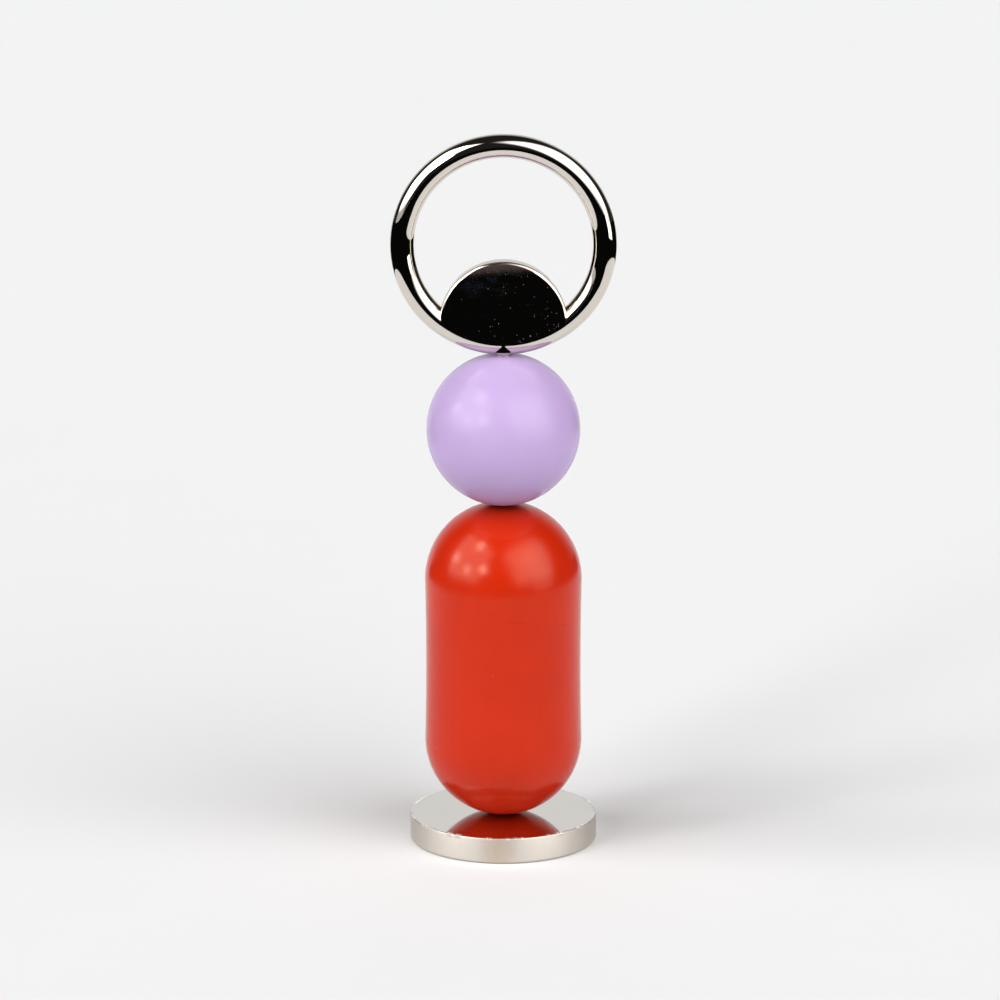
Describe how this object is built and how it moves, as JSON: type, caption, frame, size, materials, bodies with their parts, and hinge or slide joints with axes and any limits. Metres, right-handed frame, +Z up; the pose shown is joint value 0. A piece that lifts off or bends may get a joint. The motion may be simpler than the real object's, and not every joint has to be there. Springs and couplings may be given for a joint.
{
  "type": "magnetic desk sculpture",
  "caption": "Desk toy of a steel disc, capsule, ball and upright ring, stacked pole to pole by small magnets; each piece lifts off and turns.",
  "frame": {"origin": "centre of the underside, on the desk", "axes": "+Z up through the stack; the ring stands in the XZ plane and its front face looks towards -Y"},
  "size_m": [0.047, 0.039, 0.1518],
  "materials": {
    "nickel_plate": "bright nickel plate on steel, lapped mirror top, satin turned side with fine nicks",
    "pad_rubber": "matt black non-slip sheet",
    "red_lacquer": "satin red-orange lacquer over turned wood",
    "lilac_lacquer": "satin lilac lacquer over turned wood",
    "mirror_nickel": "mirror-polished nickel plate",
    "magnet_nickel": "nickel-plated sintered magnet"
  },
  "bodies": {
    "base": {"base_disc": "nickel_plate", "base_pad": "pad_rubber"},
    "capsule_seat": {"capsule_lower_magnet": "magnet_nickel"},
    "capsule": {"capsule_body": "red_lacquer", "capsule_upper_magnet": "magnet_nickel"},
    "ball_seat": {"ball_lower_magnet": "magnet_nickel"},
    "ball": {"ball_body": "lilac_lacquer", "ball_upper_magnet": "magnet_nickel"},
    "ring_seat": {"ring_magnet": "magnet_nickel"},
    "ring": {"ring_hoop": "mirror_nickel", "ring_coin": "mirror_nickel"}
  },
  "joints": [
    {"name": "capsule_lift", "type": "slide", "parent": "base", "child": "capsule_seat", "axis": [0, 0, 1], "range_m": [0, 0.03]},
    {"name": "capsule_spin", "type": "hinge", "parent": "capsule_seat", "child": "capsule", "pos_m": [0, 0, 0.00555], "axis": [0, 0, 1], "continuous": true},
    {"name": "ball_lift", "type": "slide", "parent": "capsule", "child": "ball_seat", "axis": [0, 0, 1], "range_m": [0, 0.03]},
    {"name": "ball_spin", "type": "hinge", "parent": "ball_seat", "child": "ball", "pos_m": [0, 0, 0.07275], "axis": [0, 0, 1], "continuous": true},
    {"name": "ring_lift", "type": "slide", "parent": "ball", "child": "ring_seat", "axis": [0, 0, 1], "range_m": [0, 0.03]},
    {"name": "ring_spin", "type": "hinge", "parent": "ring_seat", "child": "ring", "pos_m": [0, 0, 0.10475], "axis": [0, 0, 1], "continuous": true}
  ]
}
